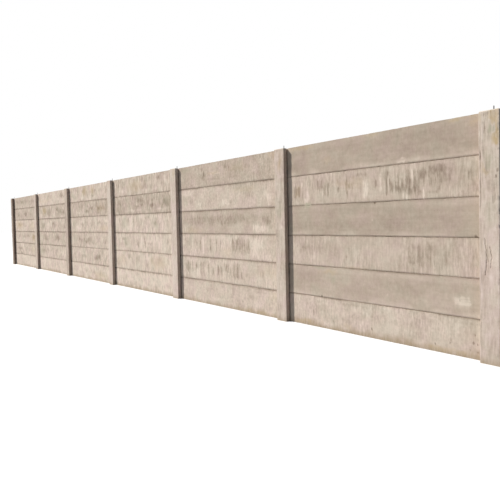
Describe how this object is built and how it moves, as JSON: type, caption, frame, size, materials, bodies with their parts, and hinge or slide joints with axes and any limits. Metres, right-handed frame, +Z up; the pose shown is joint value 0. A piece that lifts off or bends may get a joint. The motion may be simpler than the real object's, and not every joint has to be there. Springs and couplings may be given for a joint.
{
  "type": "precast concrete boundary wall",
  "caption": "Boundary wall of precast concrete planks, tongued and stacked on edge between slotted H-section posts, with a steel bar standing out of each post head.",
  "frame": {"origin": "centre of the middle post's foot, at ground level", "axes": "+X along the wall, to the right seen from the front; +Y through the wall, from the front face to the back; +Z up"},
  "size_m": [18.2, 0.2, 2.45],
  "materials": {
    "post_concrete": "cast concrete, weathered, with worn arrises",
    "plank_concrete": "cast concrete, some planks smooth and some rippled, stained",
    "bar_steel": "rusted reinforcing steel"
  },
  "bodies": {
    "root": {"post_1": "post_concrete", "post_2": "post_concrete", "post_3": "post_concrete", "post_4": "post_concrete", "post_5": "post_concrete", "post_6": "post_concrete", "post_7": "post_concrete", "bay_1_plank_1": "plank_concrete", "bay_1_plank_2": "plank_concrete", "bay_1_plank_3": "plank_concrete", "bay_1_plank_4": "plank_concrete", "bay_1_plank_5": "plank_concrete", "bay_1_plank_6": "plank_concrete", "bay_2_plank_1": "plank_concrete", "bay_2_plank_2": "plank_concrete", "bay_2_plank_3": "plank_concrete", "bay_2_plank_4": "plank_concrete", "bay_2_plank_5": "plank_concrete", "bay_2_plank_6": "plank_concrete", "bay_3_plank_1": "plank_concrete", "bay_3_plank_2": "plank_concrete", "bay_3_plank_3": "plank_concrete", "bay_3_plank_4": "plank_concrete", "bay_3_plank_5": "plank_concrete", "bay_3_plank_6": "plank_concrete", "bay_4_plank_1": "plank_concrete", "bay_4_plank_2": "plank_concrete", "bay_4_plank_3": "plank_concrete", "bay_4_plank_4": "plank_concrete", "bay_4_plank_5": "plank_concrete", "bay_4_plank_6": "plank_concrete", "bay_5_plank_1": "plank_concrete", "bay_5_plank_2": "plank_concrete", "bay_5_plank_3": "plank_concrete", "bay_5_plank_4": "plank_concrete", "bay_5_plank_5": "plank_concrete", "bay_5_plank_6": "plank_concrete", "bay_6_plank_1": "plank_concrete", "bay_6_plank_2": "plank_concrete", "bay_6_plank_3": "plank_concrete", "bay_6_plank_4": "plank_concrete", "bay_6_plank_5": "plank_concrete", "bay_6_plank_6": "plank_concrete", "head_bars": "bar_steel"}
  },
  "joints": []
}
